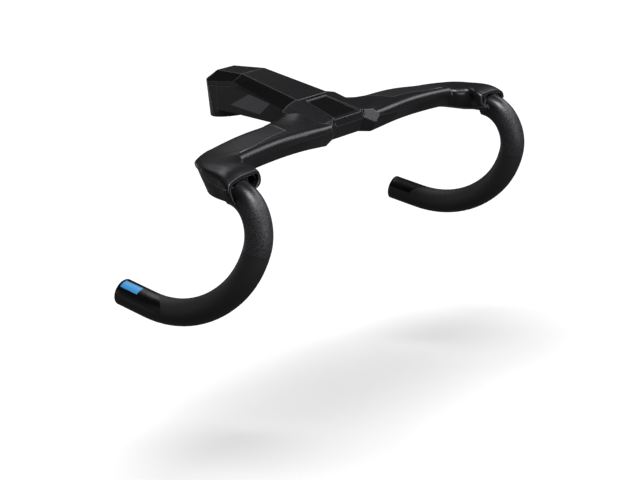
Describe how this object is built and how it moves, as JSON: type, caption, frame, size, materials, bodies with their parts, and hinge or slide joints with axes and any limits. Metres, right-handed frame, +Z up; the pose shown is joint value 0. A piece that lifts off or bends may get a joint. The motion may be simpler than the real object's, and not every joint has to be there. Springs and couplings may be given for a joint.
{
  "type": "integrated handlebar",
  "caption": "Drop handlebar moulded as one piece with its stem: flat aero wing, flared drops, steerer clamp with top cap, shallow mount tray at the nose.",
  "frame": {"origin": "centre of the steerer bore at the clamp's bottom face", "axes": "+X across the bar to the rider's left, -Y forward, +Z up along the steerer axis"},
  "size_m": [0.4468, 0.2161, 0.187],
  "materials": {
    "carbon": "matte moulded carbon fibre, near black",
    "cap": "matte black",
    "bolt_steel": "black-oxide steel",
    "nut_aluminium": "anodised"
  },
  "bodies": {
    "root": {"handlebar": "carbon", "top_cap": "cap", "clamp_bolts": "bolt_steel", "clamp_nuts": "nut_aluminium"}
  },
  "joints": []
}
